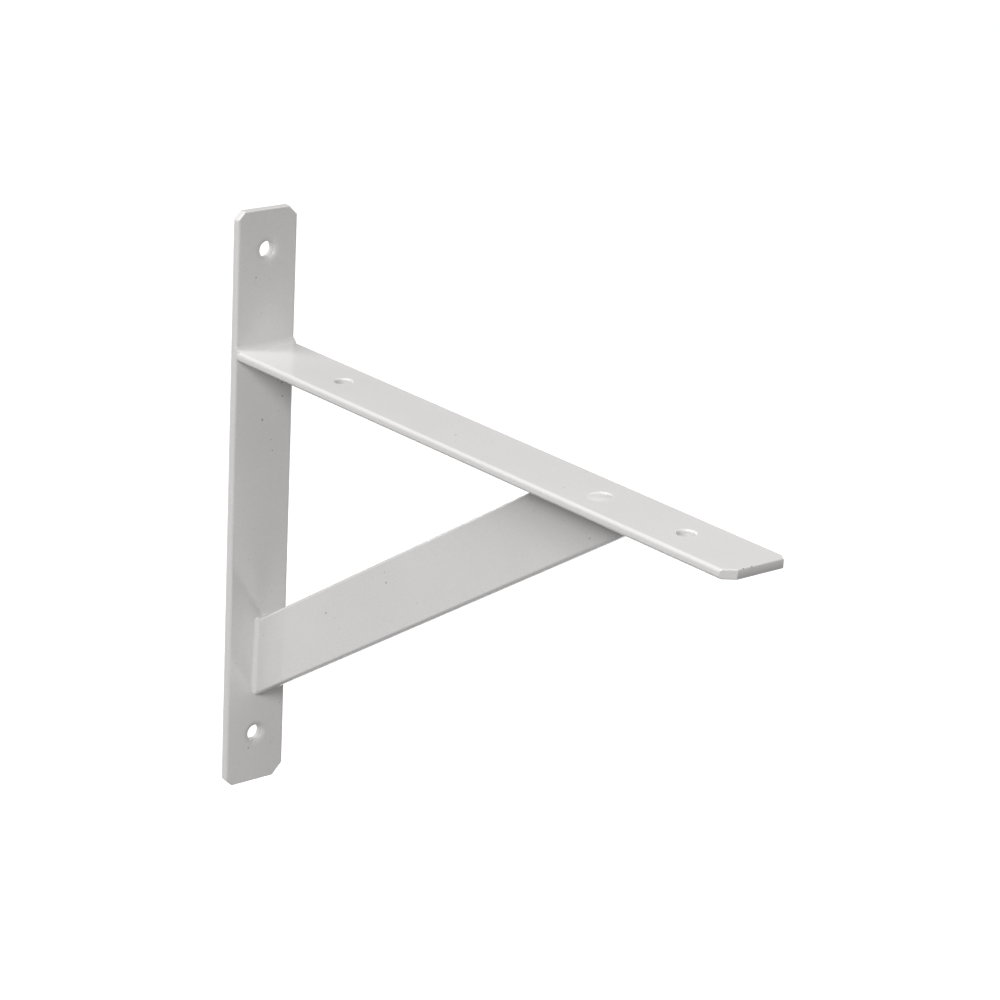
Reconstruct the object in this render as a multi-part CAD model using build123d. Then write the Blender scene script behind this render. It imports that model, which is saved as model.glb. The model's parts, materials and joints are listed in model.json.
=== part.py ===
from build123d import *
import os
from math import atan, atan2, cos, degrees, radians, sin, sqrt, tan

# Gallows shelf bracket: three lengths of one flat steel bar, welded together.
# Lengths are in millimetres. X points out of the wall along the arm, Y across the
# bracket and Z up. The origin lies on the plate's back face, at mid-width and level
# with the arm's top, so x = 0 is the wall and z = 0 is the shelf's underside.

# Flat bar stock: radius of its rolled long edges, of its sheared ends and of the
# arm's end where it butts on the plate
bar_width = 30.0
bar_thickness = 4.0
rolled_edge = 1.4
sheared_edge = 0.6
butt_edge = 1.0

# Wall plate. Near corners are on the -Y side and far corners on the +Y side, and
# the crops differ as the shears left them.
plate_height = 256.0
plate_above_arm = 59.0
plate_near_crop = 3.5
plate_far_top_crop = 4.3
plate_far_bottom_crop = 5.4
upper_hole_from_top = 17.4
lower_hole_from_bottom = 22.2

# Shelf arm, its reach taken from the wall. Its crops are as long as each other, but
# one takes more off the end's width.
arm_reach = 305.0
arm_crop_length = 4.0
arm_near_crop_width = 5.5
arm_far_crop_width = 2.6
inner_hole_from_plate = 55.0
outer_hole_from_end = 38.0

# Brace: its centre line meets the plate this far below the shelf, and the arm's
# underside this far out from the plate. The plug hole lies just past that point.
# As welded, it stands off the middle and leans, in degrees, to the far side.
brace_foot_drop = 139.5
brace_head_reach = 214.3
plug_hole_shift = 1.7
brace_offset = 1.3
brace_lean = 1.8

# Punched holes: the punch draws in the face that it enters, this far out from the
# hole's wall and this deep, and more softly on the plate than on the arm
hole_diameter = 7.0
plate_drawn_width = 2.2
plate_drawn_depth = 1.0
arm_drawn_width = 0.9
arm_drawn_depth = 0.8

# Weld beads: leg, how far the hollow face sags, the root bites in and the ends are
# rounded as shares of the leg. The arm's bead stops short of both edges. The foot's
# beads stop short at the brace's lower edge and run past its upper one.
arm_weld_leg = 2.2
arm_weld_inset = 0.2
foot_weld_leg = 1.8
foot_weld_inset = 1.6
foot_weld_overrun = 0.6
weld_sag_share = 0.27
weld_bite_share = 0.32
arm_weld_end_share = 0.5
foot_weld_end_share = 0.9

# Plug weld: height and radius of its crown, how far the crown has run off the hole's
# centre, outwards and to the near side, how deep it bites into the arm's top, and how
# low the weld lies in the rest of the hole
crown_height = 0.4
crown_radius = 4.9
crown_outward = 1.0
crown_nearward = 1.9
crown_bite = 0.5
plug_sink = 0.8

# Sizes that follow
edge_radius = min(rolled_edge, 0.45 * bar_thickness)
hole_radius = hole_diameter / 2
arm_length = arm_reach - bar_thickness
brace_rise = brace_foot_drop - bar_thickness
brace_length = sqrt(brace_rise**2 + brace_head_reach**2)
brace_slope = atan2(brace_rise, brace_head_reach)
foot_half_height = bar_width / 2 / cos(brace_slope)
foot_lean = degrees(atan(tan(radians(brace_lean)) * cos(brace_slope)))
plug_hole_from_plate = brace_head_reach + plug_hole_shift

# Planes that a bar lies in: its upper face, with the bar's length along local X
plate_plane = Plane(origin=(bar_thickness, 0, plate_above_arm), x_dir=(0, 0, -1), z_dir=(1, 0, 0))
arm_plane = Plane(origin=(bar_thickness, 0, 0), x_dir=(1, 0, 0), z_dir=(0, 0, 1))


def flat_bar(length):
    """Bar along X from the origin, its upper face at z = 0 and its long edges rolled round."""
    section = Pos(0, -bar_thickness / 2) * RectangleRounded(bar_width, bar_thickness, edge_radius)
    return extrude(Plane.YZ * section, length)


def crop_corner(bar, length, end, side, crop_length, crop_width):
    """Crop one corner: end is 0 for the near end or 1 for the far one, side -1 or 1 along Y."""
    tip = Vector(end * length, side * bar_width / 2)
    inward = Vector(1 - 2 * end, -side)
    wedge = Polyline(tip, tip + (inward.X * crop_length, 0), tip + (0, inward.Y * crop_width), close=True)
    return bar - extrude(make_face(wedge), -bar_thickness)


def soften_end(bar, end, radius):
    """Round the arris round the cut faces at one end of a bar."""
    cut = bar.faces().filter_by(lambda face: abs(face.normal_at().X) > 0.1)
    middle = bar.center().X
    faces = cut.filter_by(lambda face: (face.center().X > middle) == (end == 1))
    return fillet(faces.edges().filter_by(Axis.Z, reverse=True), radius)


def punch(bar, positions, drawn_width, drawn_depth):
    """Punch round holes down through a bar, its face drawn in where the punch enters."""
    centre = (hole_radius + drawn_width, -drawn_depth)
    rim = EllipticalCenterArc(centre, drawn_width, drawn_depth, 90, arc_size=90)
    above, below = bar_thickness, -2 * bar_thickness
    rest = Polyline(rim @ 0, (centre[0], above), (0, above), (0, below), (hole_radius, below), rim @ 1)
    void = revolve(Plane.XZ * make_face([rim, rest]), Axis.Z)
    for position in positions:
        bar -= Pos(position, 0, 0) * void
    return bar


def wall_plate():
    """Upright bar against the wall, all four corners cropped, a screw hole near each end."""
    bar = flat_bar(plate_height)
    bar = crop_corner(bar, plate_height, 0, -1, plate_near_crop, plate_near_crop)
    bar = crop_corner(bar, plate_height, 0, 1, plate_far_top_crop, plate_far_top_crop)
    bar = crop_corner(bar, plate_height, 1, -1, plate_near_crop, plate_near_crop)
    bar = crop_corner(bar, plate_height, 1, 1, plate_far_bottom_crop, plate_far_bottom_crop)
    bar = soften_end(bar, 0, sheared_edge)
    bar = soften_end(bar, 1, sheared_edge)
    holes = (upper_hole_from_top, plate_height - lower_hole_from_bottom)
    return plate_plane * punch(bar, holes, plate_drawn_width, plate_drawn_depth)


def shelf_arm():
    """Level bar that carries the shelf, butted on the plate, its outer corners cropped."""
    bar = flat_bar(arm_length)
    bar = crop_corner(bar, arm_length, 1, -1, arm_crop_length, arm_near_crop_width)
    bar = crop_corner(bar, arm_length, 1, 1, arm_crop_length, arm_far_crop_width)
    bar = soften_end(bar, 0, min(butt_edge, edge_radius))
    bar = soften_end(bar, 1, sheared_edge)
    holes = (inner_hole_from_plate, plug_hole_from_plate, arm_length - outer_hole_from_end)
    return arm_plane * punch(bar, holes, arm_drawn_width, arm_drawn_depth)


def brace():
    """Sloping bar on edge, cut upright against the plate and level under the arm."""
    overrun = bar_width / sin(brace_slope)
    along = Vector(cos(brace_slope), 0, sin(brace_slope))
    foot = Vector(bar_thickness, brace_offset, -brace_foot_drop)
    side = Plane(origin=foot, x_dir=along, z_dir=(0, -1, 0)) * Rot(X=-brace_lean)
    bar = side * Pos(-overrun, 0, bar_thickness / 2) * flat_bar(brace_length + 2 * overrun)
    depth = brace_foot_drop + 2 * foot_half_height
    space = Box(arm_reach, 2 * bar_width, depth, align=(Align.MIN, Align.CENTER, Align.MAX))
    return bar & Pos(bar_thickness, 0, -bar_thickness) * space


def bead(leg, length, end_share):
    """Weld bead along Z in the corner of +X and +Y: hollow face, root in both bars, rounded ends."""
    middle = leg / 2 - leg * weld_sag_share / sqrt(2)
    bite = leg * weld_bite_share
    face = ThreePointArc((leg, 0), (middle, middle), (0, leg))
    root = ThreePointArc((0, leg), (-bite, -bite), (leg, 0))
    run = extrude(make_face([face, root]), length / 2, both=True)
    outline = RectangleRounded(2 * leg, length, end_share * leg)
    for side in (Plane.YZ, Plane.XZ):
        run &= extrude(side * outline, 2 * leg, both=True)
    return run


def arm_bead():
    """Smooth bead across the corner between the plate's front face and the arm's top."""
    length = bar_width - 2 * arm_weld_inset
    return Pos(bar_thickness, 0, 0) * Rot(X=90) * bead(arm_weld_leg, length, arm_weld_end_share)


def foot_beads():
    """A small bead up each side of the brace's foot, leaning as the brace does."""
    length = 2 * foot_half_height + foot_weld_overrun - foot_weld_inset
    middle = (foot_weld_overrun + foot_weld_inset) / 2
    far = Pos(0, bar_thickness / 2, middle) * bead(foot_weld_leg, length, foot_weld_end_share)
    foot = Pos(bar_thickness, brace_offset, -brace_foot_drop) * Rot(X=-foot_lean)
    return [foot * half for half in (mirror(far, Plane.XZ), far)]


def plug_weld(arm):
    """Weld metal that fills the arm's middle hole, its low crown run over the rim on one side."""
    ball_radius = (crown_radius**2 + crown_height**2) / (2 * crown_height)
    ball = Pos(0, 0, crown_height - ball_radius) * Sphere(ball_radius)
    low = (Align.CENTER, Align.CENTER, Align.MIN)
    bite = Pos(0, 0, -crown_bite) * Cylinder(crown_radius, crown_bite + crown_height, align=low)
    column = Pos(0, 0, -bar_thickness) * Cylinder(crown_radius, bar_thickness, align=low)
    reach = hole_radius + arm_drawn_width
    fill = Pos(0, 0, -bar_thickness) * Cylinder(reach, bar_thickness - plug_sink, align=low)
    centre = Pos(bar_thickness + plug_hole_from_plate, 0, 0)
    run = centre * Pos(crown_outward, -crown_nearward, 0)
    return (centre * fill + run * column - arm) + run * (bite & ball)


os.makedirs("parts", exist_ok=True)
along_arm = arm_bead()
up_foot = foot_beads()
arm = shelf_arm()
plug = plug_weld(arm)
nodes = {
    "wall_plate": wall_plate() - along_arm - up_foot,
    "shelf_arm": arm - along_arm - plug,
    "brace": brace() - up_foot,
    "arm_weld": along_arm,
    "brace_foot_welds": Compound(up_foot),
    "brace_plug_weld": plug,
}
for name, shape in nodes.items():
    export_step(shape, f"parts/{name}.step")
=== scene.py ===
import json
from math import cos, pi, radians, sin

import bmesh
import bpy
from mathutils import Matrix, Vector


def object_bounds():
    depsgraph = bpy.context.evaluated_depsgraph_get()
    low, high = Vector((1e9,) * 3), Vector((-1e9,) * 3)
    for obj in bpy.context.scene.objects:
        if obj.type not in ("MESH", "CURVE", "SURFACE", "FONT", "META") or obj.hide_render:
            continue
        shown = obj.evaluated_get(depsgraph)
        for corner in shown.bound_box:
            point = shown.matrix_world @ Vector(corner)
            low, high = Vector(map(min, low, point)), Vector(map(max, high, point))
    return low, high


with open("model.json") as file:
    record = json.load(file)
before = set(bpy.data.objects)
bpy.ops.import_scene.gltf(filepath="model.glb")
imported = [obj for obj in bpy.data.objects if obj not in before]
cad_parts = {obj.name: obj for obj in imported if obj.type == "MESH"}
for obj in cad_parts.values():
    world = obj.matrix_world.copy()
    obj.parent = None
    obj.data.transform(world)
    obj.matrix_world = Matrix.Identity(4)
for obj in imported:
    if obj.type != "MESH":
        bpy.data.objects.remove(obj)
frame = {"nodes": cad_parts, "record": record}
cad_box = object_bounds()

bl_info = {
    "name": "Gallows Shelf Bracket",
    "version": (1, 0, 0),
    "blender": (4, 5, 0),
    "location": "3D View > Sidebar > Bracket",
    "description": "Powder coat and a plain studio for a welded gallows shelf bracket",
    "category": "Object",
}

MM = 0.001
BARS = ("wall_plate", "shelf_arm", "brace")
WELDS = ("arm_weld", "brace_foot_welds", "brace_plug_weld")

# How far the arm's sheared end stands out from the wall, the bar's thickness, and how far behind
# the end's face the painted shade on the end starts and is at its darkest, in millimetres
ARM_END = 305.0
BAR_THICKNESS = 4.0
END_SHADE_START = 0.3
END_SHADE_FULL = 0.05

# Shares of the coat's contrast that its slow drift and its single grains make
DRIFT_SHARE = 0.7
GRAIN_SHARE = 1.1
# Where in the noise each pattern is cut
DRIFT_SEED, GRAIN_SEED, PEEL_SEED = 2.0, 5.0, 9.0
# Smallest speck as a share of the largest, its full-depth core, and the faintest and boldest tone
SMALLEST_GRIT = 0.4
GRIT_CORE = 0.4
FAINTEST_GRIT, BOLDEST_GRIT = 0.12, 0.62
# Depth of a speck and tone of a pit, as shares of a whole pit, and a pit's full-depth core
GRIT_DEPTH = 0.5
PIT_TONE = 0.75
PIT_CORE = 0.3
# Roughness that a ripple of orange peel and a speck or pit add
PEEL_ROUGHNESS = 0.1
GRIT_ROUGHNESS = 0.3
FILM_IOR = 1.5

# The film's plainest pits, each by its place and its radius in millimetres
PITS = (
    ((4.0, -0.5, -32.0), 0.65), ((4.0, 5.0, -46.5), 0.4), ((4.0, 9.0, -17.0), 0.55),
    ((4.0, 9.5, -23.0), 0.55), ((4.0, -5.5, 30.5), 0.45), ((4.0, -3.5, -181.0), 0.5),
    ((53.0, -0.5, -102.5), 0.6), ((93.0, -0.5, -76.0), 0.6), ((216.0, -1.0, -18.0), 0.5),
    ((136.5, -3.0, 0.0), 0.6), ((143.5, -8.5, 0.0), 0.45), ((206.0, -6.5, 0.0), 0.45),
)
# Chips in the film on the upper arris of the arm's end and where its near crop starts
CHIPS = (((304.8, -7.0, -0.2), 0.45), ((304.8, -3.0, -0.2), 0.45), ((300.0, -13.3, -0.3), 0.5))

# Where each softbox stands, seen from what it looks at: its bearing from +X towards +Y and its
# height, in degrees
KEY_BOX = (308, 31)
BACK_BOX = (238, 55)
TOP_BOX = (270, 78)
WALL_BOX = (180, 8)
FAR_BOX = (95, 8)
FOOT_BOX = (0, -22)
GLEAM_BOX = (30, -22)
# What the large softboxes look at, and the small ones, in metres
MIDDLE = Vector((0.1, 0.0, -0.06))
PLATE_FOOT = Vector((0.0, 0.0, -0.13))
# How finely the floor is turned, and its rim curved
FLOOR_STEPS = 96
RIM_STEPS = 9

# The photograph's camera: where it stands round the bracket and its roll, in degrees, its lens and
# sensor in millimetres, and how far it stands back, right and up from the origin, in metres
CAMERA_AZIMUTH, CAMERA_ELEVATION, CAMERA_ROLL = 50.277, 19.376, 2.919
CAMERA_LENS = 120.694
CAMERA_SENSOR = 36.0
CAMERA_BACK, CAMERA_RIGHT, CAMERA_UP = 1.396764, 0.100117, -0.064975
CAMERA_NEAR, CAMERA_FAR = 0.01, 100.0


class CoatSettings(bpy.types.PropertyGroup):
    """Colour and surface of the powder coat."""

    colour: bpy.props.FloatVectorProperty(
        name="Colour", description="Colour of the cured powder", subtype="COLOR",
        size=3, min=0, max=1, default=tuple(frame["record"]["materials"][0]["base_color"][:3]))
    contrast: bpy.props.FloatProperty(
        name="Contrast", description="Widest change of the film's tone, as a share of its colour",
        subtype="FACTOR", min=0, max=1, default=0.06)
    drift_size: bpy.props.FloatProperty(
        name="Drift", description="Width of the slow changes of tone", default=35 * MM, unit="LENGTH")
    grain_size: bpy.props.FloatProperty(
        name="Grain", description="Width of one grain of powder in the film",
        default=0.7 * MM, unit="LENGTH")
    roughness: bpy.props.FloatProperty(
        name="Roughness", description="Roughness of the semi-gloss film",
        subtype="FACTOR", min=0, max=1, default=0.16)
    peel_size: bpy.props.FloatProperty(
        name="Orange peel", description="Width of one ripple of orange peel",
        default=1.8 * MM, unit="LENGTH")
    peel_depth: bpy.props.FloatProperty(
        name="Peel depth", description="Height of the orange peel", default=0.014 * MM, unit="LENGTH")
    grit_spacing: bpy.props.FloatProperty(
        name="Grit spacing", description="Typical distance between specks in the film",
        default=4.6 * MM, unit="LENGTH")
    grit_radius: bpy.props.FloatProperty(
        name="Grit radius", description="Radius of the largest specks", default=0.42 * MM, unit="LENGTH")
    grit_colour: bpy.props.FloatVectorProperty(
        name="Grit colour", description="Colour at the bottom of a speck or pit", subtype="COLOR",
        size=3, min=0, max=1, default=(0.12, 0.11, 0.10))
    pit_depth: bpy.props.FloatProperty(
        name="Pit depth", description="Depth of the pits in the film", default=0.06 * MM, unit="LENGTH")
    # Painted shade: how far the arm's end face is darkened towards the shade colour, most at its foot
    end_shade: bpy.props.FloatProperty(
        name="End film", description="How much of the steel shows through at the foot of the arm's end",
        subtype="FACTOR", min=0, max=1, default=0.52)
    # Colour of the painted shade on the arm's end face
    end_shade_colour: bpy.props.FloatVectorProperty(
        name="Steel colour", description="Colour of the primed steel under a thin film", subtype="COLOR",
        size=3, min=0, max=1, default=(0.24, 0.22, 0.20))


class StudioSettings(bpy.types.PropertyGroup):
    """Floor, softboxes and the room's even light."""

    floor_drop: bpy.props.FloatProperty(
        name="Floor drop", description="How far the floor lies below the plate's foot",
        default=0.65, unit="LENGTH")
    floor_radius: bpy.props.FloatProperty(
        name="Floor radius", description="Where the floor begins to curve up", default=10.0, unit="LENGTH")
    rim_height: bpy.props.FloatProperty(
        name="Rim height", description="How high the floor curves up", default=3.5, unit="LENGTH")
    floor_colour: bpy.props.FloatVectorProperty(
        name="Floor colour", description="Colour of the pale floor", subtype="COLOR",
        size=3, min=0, max=1, default=(0.35, 0.35, 0.35))
    floor_glow: bpy.props.FloatProperty(
        name="Floor glow", description="Light that lifts the floor to white in view and in reflections",
        default=0.96)
    floor_return: bpy.props.FloatProperty(
        name="Floor return", description="How much of the light that falls on the floor reaches the bracket",
        subtype="FACTOR", min=0, max=1, default=0.16)
    room_grey: bpy.props.FloatProperty(
        name="Room grey", description="Even light of the room round the bracket",
        subtype="FACTOR", min=0, max=1, default=0.1)
    room_tint: bpy.props.FloatVectorProperty(
        name="Room tint", description="Warm tint of the room's even light", subtype="COLOR",
        size=3, min=0, max=1, default=(1.0, 0.98, 0.95))
    sky_tint: bpy.props.FloatVectorProperty(
        name="Sky tint", description="Cool tint of the two high softboxes", subtype="COLOR",
        size=3, min=0, max=1, default=(1.0, 0.985, 1.0))
    key_power: bpy.props.FloatProperty(
        name="Key box", description="Power of the softbox on the near side", default=92.0, unit="POWER")
    back_power: bpy.props.FloatProperty(
        name="Back box", description="Power of the softbox over the wall side", default=58.0, unit="POWER")
    top_power: bpy.props.FloatProperty(
        name="Top box", description="Power of the softbox overhead", default=46.0, unit="POWER")
    wall_power: bpy.props.FloatProperty(
        name="Wall box", description="Power of the softbox behind the wall plate",
        default=45.0, unit="POWER")
    far_power: bpy.props.FloatProperty(
        name="Far box", description="Power of the softbox on the far side", default=45.0, unit="POWER")
    box_distance: bpy.props.FloatProperty(
        name="Box distance", description="From the bracket to each large softbox",
        default=4.0, unit="LENGTH")
    box_size: bpy.props.FloatProperty(
        name="Box size", description="Width of each large softbox", default=1.5, unit="LENGTH")
    foot_power: bpy.props.FloatProperty(
        name="Foot box", description="Power of the small softbox low in front of the plate's foot",
        default=0.65, unit="POWER")
    gleam_power: bpy.props.FloatProperty(
        name="Gleam box", description="Power of the small softbox that the plate's face mirrors",
        default=0.32, unit="POWER")
    small_distance: bpy.props.FloatProperty(
        name="Small box distance", description="From the plate's foot to each small softbox",
        default=1.2, unit="LENGTH")
    small_size: bpy.props.FloatProperty(
        name="Small box size", description="Width of each small softbox", default=0.405, unit="LENGTH")


class Value:
    """A number or colour that a node gives. Sums written with it become Math nodes."""

    def __init__(self, finish, socket):
        self.finish = finish
        self.socket = socket

    def math(self, operation, *values):
        return self.finish.node("ShaderNodeMath", {"operation": operation}, values)

    def __add__(self, other):
        return self.math("ADD", self, other)

    def __sub__(self, other):
        return self.math("SUBTRACT", self, other)

    def __rsub__(self, other):
        return self.math("SUBTRACT", other, self)

    def __mul__(self, other):
        return self.math("MULTIPLY", self, other)

    def __truediv__(self, other):
        return self.math("DIVIDE", self, other)

    def __rtruediv__(self, other):
        return self.math("DIVIDE", other, self)

    __radd__ = __add__
    __rmul__ = __mul__

    def most(self, other):
        return self.math("MAXIMUM", self, other)


class Finish:
    """A material and its nodes."""

    def __init__(self, name):
        self.material = bpy.data.materials.new(name)
        self.material.use_nodes = True
        self.tree = self.material.node_tree
        self.tree.nodes.clear()
        self.place = self.node("ShaderNodeTexCoord", output="Object")

    def node(self, kind, settings=None, inputs=(), output=0):
        """Add a node of a kind, with its settings, then the values or links of its sockets."""
        made = self.tree.nodes.new(kind)
        for name, value in (settings or {}).items():
            setattr(made, name, value)
        named = inputs.items() if isinstance(inputs, dict) else enumerate(inputs)
        for name, value in named:
            if isinstance(value, Value):
                self.tree.links.new(value.socket, made.inputs[name])
            else:
                made.inputs[name].default_value = value
        return Value(self, made.outputs[output]) if made.outputs else None

    def noise(self, size, detail, seed):
        """Soft noise whose features are about this wide, from 0 to 1."""
        return self.node("ShaderNodeTexNoise", {"noise_dimensions": "4D"}, {
            "Vector": self.place, "W": seed, "Scale": 1 / size, "Detail": detail, "Roughness": 0.5})

    def ramp(self, value, start, end):
        """Smooth step from 0 at start to 1 at end."""
        return self.node("ShaderNodeMapRange", {"interpolation_type": "SMOOTHSTEP"}, {
            "Value": value, "From Min": start, "From Max": end})

    def mix(self, share, first, second):
        """Colour between first and second, through the Mix node's colour sockets."""
        first, second = (value if isinstance(value, Value) else (*value[:3], 1) for value in (first, second))
        return self.node("ShaderNodeMix", {"data_type": "RGBA"}, {0: share, 6: first, 7: second}, 2)

    def surface(self, shader):
        """Make this shader the material's surface."""
        self.node("ShaderNodeOutputMaterial", {}, {"Surface": shader})
        return self.material


def grit(finish, coat):
    """Specks strewn through the film, of every size up to the largest, most of them faint."""
    settings = {"voronoi_dimensions": "3D", "feature": "F1"}
    inputs = {"Vector": finish.place, "Scale": 1 / coat.grit_spacing, "Randomness": 1.0}
    distance = finish.node("ShaderNodeTexVoronoi", settings, inputs, "Distance")
    cell = finish.node("ShaderNodeTexVoronoi", settings, inputs, "Color")
    lot = finish.node("ShaderNodeSeparateColor", {}, [cell], "Red")
    boldness = finish.node("ShaderNodeSeparateColor", {}, [cell], "Green")
    radius = coat.grit_radius / coat.grit_spacing * (SMALLEST_GRIT + (1 - SMALLEST_GRIT) * lot)
    tone = FAINTEST_GRIT + (BOLDEST_GRIT - FAINTEST_GRIT) * boldness * boldness
    return finish.ramp(distance / radius, 1.0, GRIT_CORE) * tone


def pits(finish):
    """The plainest pits and the chips, each where it lies on this bracket."""
    deepest = None
    for place, radius in PITS + CHIPS:
        centre = [MM * length for length in place]
        distance = finish.node(
            "ShaderNodeVectorMath", {"operation": "DISTANCE"}, [finish.place, centre], "Value")
        pit = finish.ramp(distance, radius * MM, PIT_CORE * radius * MM)
        deepest = pit if deepest is None else deepest.most(pit)
    return deepest


def powder_coat(coat):
    """Semi-gloss white powder coat: grain, orange peel, grit, pits, and painted shade on the arm's end face,
    darkest at its foot.
    """
    finish = Finish("powder_coat")
    drift = finish.noise(coat.drift_size, detail=3.0, seed=DRIFT_SEED) - 0.5
    grain = finish.noise(coat.grain_size, detail=1.0, seed=GRAIN_SEED) - 0.5
    pale = [channel * (1 + coat.contrast) for channel in coat.colour]
    dark = [channel * (1 - coat.contrast) for channel in coat.colour]
    tone = finish.mix(0.5 + DRIFT_SHARE * drift + GRAIN_SHARE * grain, dark, pale)
    outward = finish.node("ShaderNodeSeparateXYZ", {}, [finish.place], "X")
    height = finish.node("ShaderNodeSeparateXYZ", {}, [finish.place], "Z")
    # Painted shade: the arm's end face is darkened, most towards its foot, to stand for the light it lacks
    sheared = finish.ramp(outward, (ARM_END - END_SHADE_START) * MM, (ARM_END - END_SHADE_FULL) * MM)
    shade_to_foot = finish.ramp(height, 0.0, -BAR_THICKNESS * MM)
    tone = finish.mix(sheared * shade_to_foot * coat.end_shade, tone, coat.end_shade_colour)

    specks, hollows = grit(finish, coat), pits(finish)
    colour = finish.mix(specks.most(PIT_TONE * hollows), tone, coat.grit_colour)
    peel = finish.noise(coat.peel_size, detail=2.0, seed=PEEL_SEED)
    relief = peel * coat.peel_depth - (GRIT_DEPTH * specks + hollows) * coat.pit_depth
    bump = finish.node("ShaderNodeBump", {}, {"Strength": 1.0, "Distance": 1.0, "Height": relief})
    roughness = coat.roughness + PEEL_ROUGHNESS * (peel - 0.5) + GRIT_ROUGHNESS * specks.most(hollows)
    shader = finish.node("ShaderNodeBsdfPrincipled", {}, {
        "Base Color": colour, "Roughness": roughness, "Normal": bump, "IOR": FILM_IOR})
    return finish.surface(shader)


def pale_floor(studio):
    """White to the eye and in reflections, and a dim floor in the light that it throws back."""
    finish = Finish("pale_floor")
    rays = ("Is Camera Ray", "Is Glossy Ray", "Is Transmission Ray")
    camera, glossy, through = (finish.node("ShaderNodeLightPath", output=ray) for ray in rays)
    shown = camera.most(glossy).most(through)
    white = finish.node("ShaderNodeBsdfDiffuse", {}, {"Color": (*studio.floor_colour, 1)})
    glow = finish.node("ShaderNodeEmission", {}, {"Color": (1, 1, 1, 1), "Strength": studio.floor_glow})
    bright = finish.node("ShaderNodeAddShader", {}, [white, glow])
    returned = [channel * studio.floor_return for channel in studio.floor_colour]
    dim = finish.node("ShaderNodeBsdfDiffuse", {}, {"Color": (*returned, 1)})
    return finish.surface(finish.node("ShaderNodeMixShader", {}, [shown, dim, bright]))


def coat_piece(piece, material):
    """Give a piece one material in its only slot."""
    piece.data.materials.clear()
    piece.data.materials.append(material)


class CoatBars(bpy.types.Operator):
    """Powder-coat the wall plate, the shelf arm and the brace"""

    bl_idname = "bracket.coat_bars"
    bl_label = "Coat bars"

    def execute(self, context):
        material = powder_coat(context.scene.bracket_coat)
        for name in BARS:
            coat_piece(frame["nodes"][name], material)
        return {"FINISHED"}


class CoatWelds(bpy.types.Operator):
    """Run the bars' powder coat on over the weld beads and the plug weld"""

    bl_idname = "bracket.coat_welds"
    bl_label = "Coat welds"

    def execute(self, context):
        material = frame["nodes"]["wall_plate"].data.materials[0]
        for name in WELDS:
            coat_piece(frame["nodes"][name], material)
        return {"FINISHED"}


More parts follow.
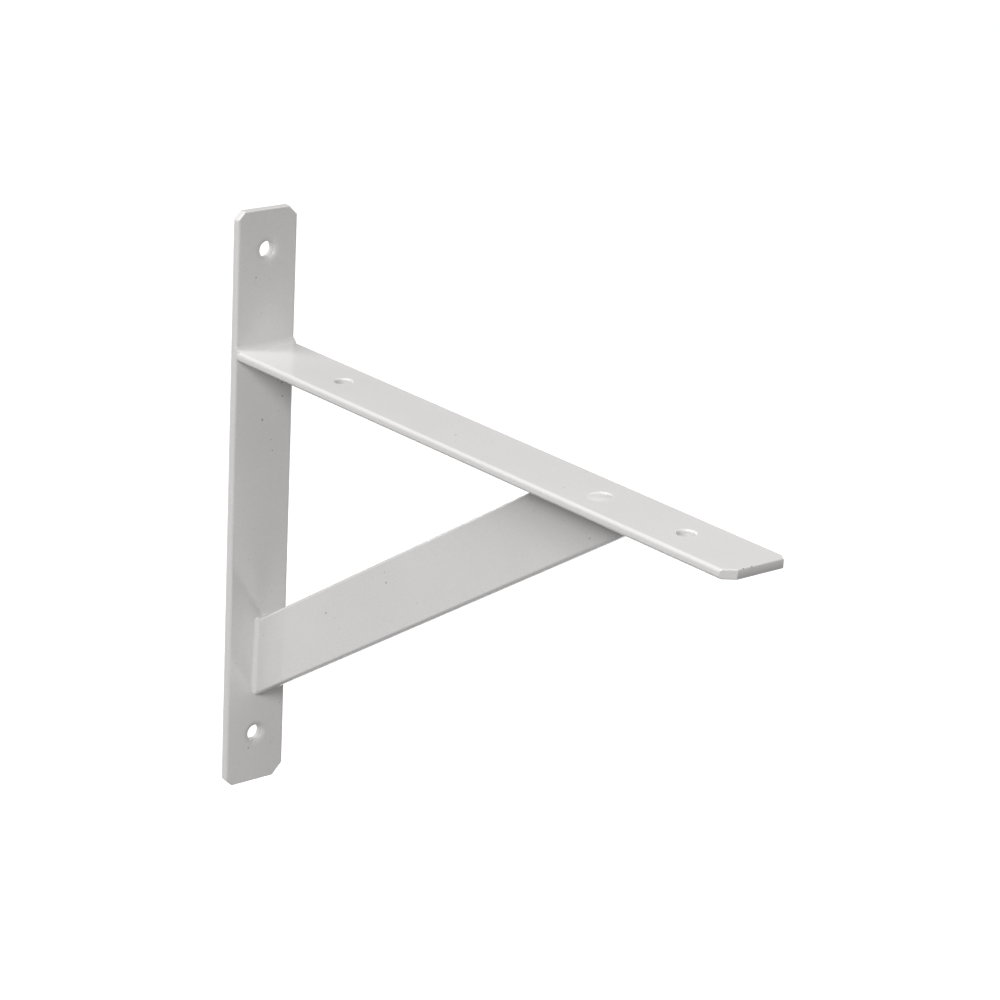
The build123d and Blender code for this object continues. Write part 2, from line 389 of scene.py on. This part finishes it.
class BuildStudio(bpy.types.Operator):
    """Set the pale floor, the softboxes, the room's even light and the camera"""

    bl_idname = "bracket.studio"
    bl_label = "Studio"

    def execute(self, context):
        studio = context.scene.bracket_studio
        self.floor(context, studio)
        self.lights(context, studio)
        self.room(context, studio)
        self.camera(context)
        return {"FINISHED"}

    def floor(self, context, studio):
        """Round floor that curves up far off, so that low views still see it."""
        level = cad_box[0].z - studio.floor_drop
        mesh = bpy.data.meshes.new("floor")
        shape = bmesh.new()
        radius, rise = studio.floor_radius, studio.rim_height
        points = [Vector((0, 0, level)), Vector((radius, 0, level))]
        for step in range(1, RIM_STEPS + 1):
            turn = pi / 2 * step / RIM_STEPS
            points.append(Vector((radius + rise * sin(turn), 0, level + rise * (1 - cos(turn)))))
        verts = [shape.verts.new(point) for point in points]
        edges = [shape.edges.new(pair) for pair in zip(verts, verts[1:])]
        bmesh.ops.spin(shape, geom=verts + edges, cent=(0, 0, 0), axis=(0, 0, 1),
                       angle=2 * pi, steps=FLOOR_STEPS, use_merge=True)
        bmesh.ops.remove_doubles(shape, verts=shape.verts, dist=MM)
        bmesh.ops.recalc_face_normals(shape, faces=shape.faces)
        if sum(face.normal.z for face in shape.faces) < 0:
            bmesh.ops.reverse_faces(shape, faces=shape.faces)
        shape.to_mesh(mesh)
        shape.free()
        mesh.shade_smooth()
        floor = bpy.data.objects.new("floor", mesh)
        context.collection.objects.link(floor)
        coat_piece(floor, pale_floor(studio))

    def softbox(self, context, name, aim, bearing, height, distance, size, power, tint=(1, 1, 1)):
        """Round softbox that looks at aim, its bearing and height in degrees."""
        turn, tilt = radians(bearing), radians(height)
        towards = Vector((cos(turn) * cos(tilt), sin(turn) * cos(tilt), sin(tilt)))
        data = bpy.data.lights.new(name, "AREA")
        data.shape = "DISK"
        data.size = size
        data.energy = power
        data.color = tint
        lamp = bpy.data.objects.new(name, data)
        lamp.location = aim + towards * distance
        lamp.rotation_euler = towards.to_track_quat("Z", "Y").to_euler()
        lamp.visible_camera = False
        context.collection.objects.link(lamp)

    def lights(self, context, studio):
        """Five large softboxes round the bracket and two small ones, low in front of the plate's foot."""
        large = (studio.box_distance, studio.box_size)
        small = (studio.small_distance, studio.small_size)
        self.softbox(context, "key_box", MIDDLE, *KEY_BOX, *large, studio.key_power)
        self.softbox(context, "back_box", MIDDLE, *BACK_BOX, *large, studio.back_power, studio.sky_tint)
        self.softbox(context, "top_box", MIDDLE, *TOP_BOX, *large, studio.top_power, studio.sky_tint)
        self.softbox(context, "wall_box", MIDDLE, *WALL_BOX, *large, studio.wall_power)
        self.softbox(context, "far_box", MIDDLE, *FAR_BOX, *large, studio.far_power)
        self.softbox(context, "foot_box", PLATE_FOOT, *FOOT_BOX, *small, studio.foot_power)
        self.softbox(context, "gleam_box", PLATE_FOOT, *GLEAM_BOX, *small, studio.gleam_power)

    def room(self, context, studio):
        """Even, slightly warm grey all round."""
        world = bpy.data.worlds.new("room")
        world.use_nodes = True
        background = world.node_tree.nodes["Background"]
        background.inputs["Color"].default_value = (*studio.room_tint, 1)
        background.inputs["Strength"].default_value = studio.room_grey
        context.scene.world = world

    def camera(self, context):
        """Camera at the photograph's angle, looking down the arm from outside and above."""
        azimuth, elevation = radians(CAMERA_AZIMUTH), radians(CAMERA_ELEVATION)
        roll = radians(CAMERA_ROLL)
        back = Vector((sin(azimuth) * cos(elevation), -cos(azimuth) * cos(elevation), sin(elevation)))
        level = Vector((cos(azimuth), sin(azimuth), 0))
        upright = back.cross(level)
        right = cos(roll) * level + sin(roll) * upright
        up = cos(roll) * upright - sin(roll) * level
        data = bpy.data.cameras.new("camera")
        data.sensor_width = CAMERA_SENSOR
        data.lens = CAMERA_LENS
        data.clip_start = CAMERA_NEAR
        data.clip_end = CAMERA_FAR
        camera = bpy.data.objects.new("camera", data)
        camera.matrix_world = Matrix((right, up, back)).transposed().to_4x4()
        camera.location = CAMERA_BACK * back + CAMERA_RIGHT * right + CAMERA_UP * up
        context.collection.objects.link(camera)
        context.scene.camera = camera
        context.scene.view_settings.view_transform = "Standard"


# Each group of settings by its name on the scene, with the steps that use it
STEPS = {
    "bracket_coat": (CoatSettings, (CoatBars, CoatWelds)),
    "bracket_studio": (StudioSettings, (BuildStudio,)),
}


class BracketPanel(bpy.types.Panel):
    """Lists the bracket's settings and the steps that build it"""

    bl_idname = "VIEW3D_PT_bracket"
    bl_label = "Shelf bracket"
    bl_space_type = "VIEW_3D"
    bl_region_type = "UI"
    bl_category = "Bracket"

    def draw(self, context):
        for name, (group, operators) in STEPS.items():
            box = self.layout.box()
            settings = getattr(context.scene, name)
            for setting in group.__annotations__:
                box.prop(settings, setting)
            for operator in operators:
                box.operator(operator.bl_idname)


def register():
    for name, (group, operators) in STEPS.items():
        bpy.utils.register_class(group)
        setattr(bpy.types.Scene, name, bpy.props.PointerProperty(type=group))
        for operator in operators:
            bpy.utils.register_class(operator)
    bpy.utils.register_class(BracketPanel)


def unregister():
    bpy.utils.unregister_class(BracketPanel)
    for name, (group, operators) in STEPS.items():
        for operator in operators:
            bpy.utils.unregister_class(operator)
        delattr(bpy.types.Scene, name)
        bpy.utils.unregister_class(group)


def main():
    """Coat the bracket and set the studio."""
    register()
    bpy.ops.bracket.coat_bars()
    bpy.ops.bracket.coat_welds()
    bpy.ops.bracket.studio()


if __name__ == "__main__":
    main()
